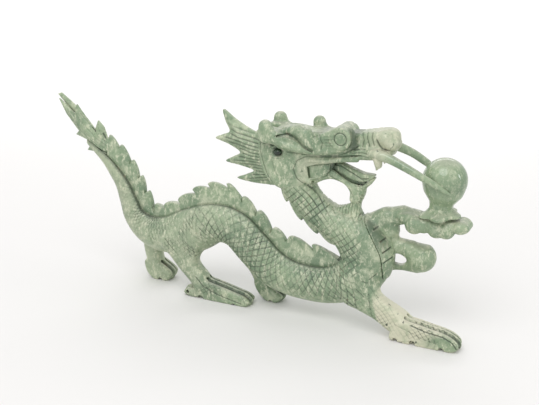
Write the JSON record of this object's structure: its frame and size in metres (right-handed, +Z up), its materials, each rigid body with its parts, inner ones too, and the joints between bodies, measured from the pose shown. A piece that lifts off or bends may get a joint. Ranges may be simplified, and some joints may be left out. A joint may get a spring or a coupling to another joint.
{
  "type": "figurine",
  "caption": "Carved green jade dragon that stands on four paws and holds up a pearl in its raised fore paw.",
  "frame": {"origin": "middle of the bounding box at the standing plane, z = 0", "axes": "+X towards the head and the raised pearl, +Z up, +Y towards the side away from the long fore paw"},
  "size_m": [0.4027, 0.048, 0.1788],
  "materials": {
    "jade": "satin",
    "light_jade": "satin",
    "cream_jade": "satin",
    "deep_jade": "satin",
    "eye_stone": "gloss"
  },
  "bodies": {
    "root": {"tail_flame": "light_jade", "tail_barbs": "jade", "tail": "jade", "rump": "jade", "back": "jade", "belly": "jade", "chest": "jade", "neck": "jade", "tail_fin": "light_jade", "back_fin": "light_jade", "neck_fin": "light_jade", "belly_plates": "light_jade", "skull": "jade", "upper_jaw": "light_jade", "nose": "cream_jade", "lower_jaw": "jade", "tongue": "deep_jade", "fangs": "cream_jade", "mane": "light_jade", "beard": "light_jade", "near_brow": "light_jade", "far_brow": "light_jade", "near_horn": "jade", "far_horn": "jade", "near_knob": "jade", "far_knob": "jade", "forehead": "jade", "near_eye": "eye_stone", "far_eye": "eye_stone", "near_whisker": "jade", "far_whisker": "jade", "near_hind_leg": "jade", "near_hind_paw": "jade", "far_hind_leg": "jade", "far_hind_paw": "jade", "middle_leg": "jade", "middle_paw": "jade", "near_fore_leg": "jade", "near_fore_paw": "cream_jade", "raised_leg": "jade", "raised_paw": "jade", "pearl": "jade", "pearl_collar": "light_jade"}
  },
  "joints": []
}
